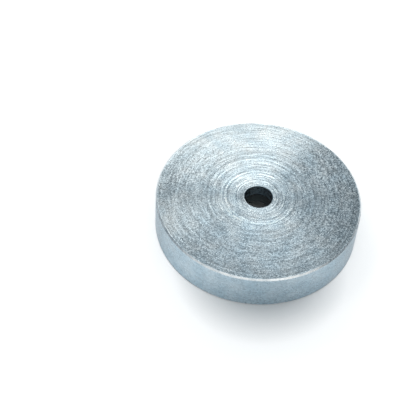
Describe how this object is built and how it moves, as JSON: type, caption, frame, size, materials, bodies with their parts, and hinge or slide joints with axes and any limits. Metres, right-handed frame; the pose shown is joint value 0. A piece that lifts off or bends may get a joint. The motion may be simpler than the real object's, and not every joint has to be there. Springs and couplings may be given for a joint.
{
  "type": "pot magnet",
  "caption": "Flat round pot magnet: a turned, zinc-plated steel pot holding a countersunk ring magnet, with a plain screw bore through its centre.",
  "frame": {"origin": "centre of the magnetic face, in the plane of the pot's rim, on the bore's axis", "axes": "+Z along the bore's axis, out of the pot's closed back; X and Y are any two square radii"},
  "size_m": [0.04, 0.04, 0.008],
  "materials": {
    "zinc_plated_steel": "bright, bluish zinc plate over fine facing marks",
    "nickel_plated_magnet": "satin nickel plate",
    "epoxy": "cast resin with a meniscus"
  },
  "bodies": {
    "root": {"steel_pot": "zinc_plated_steel", "ring_magnet": "nickel_plated_magnet", "epoxy_potting": "epoxy"}
  },
  "joints": []
}
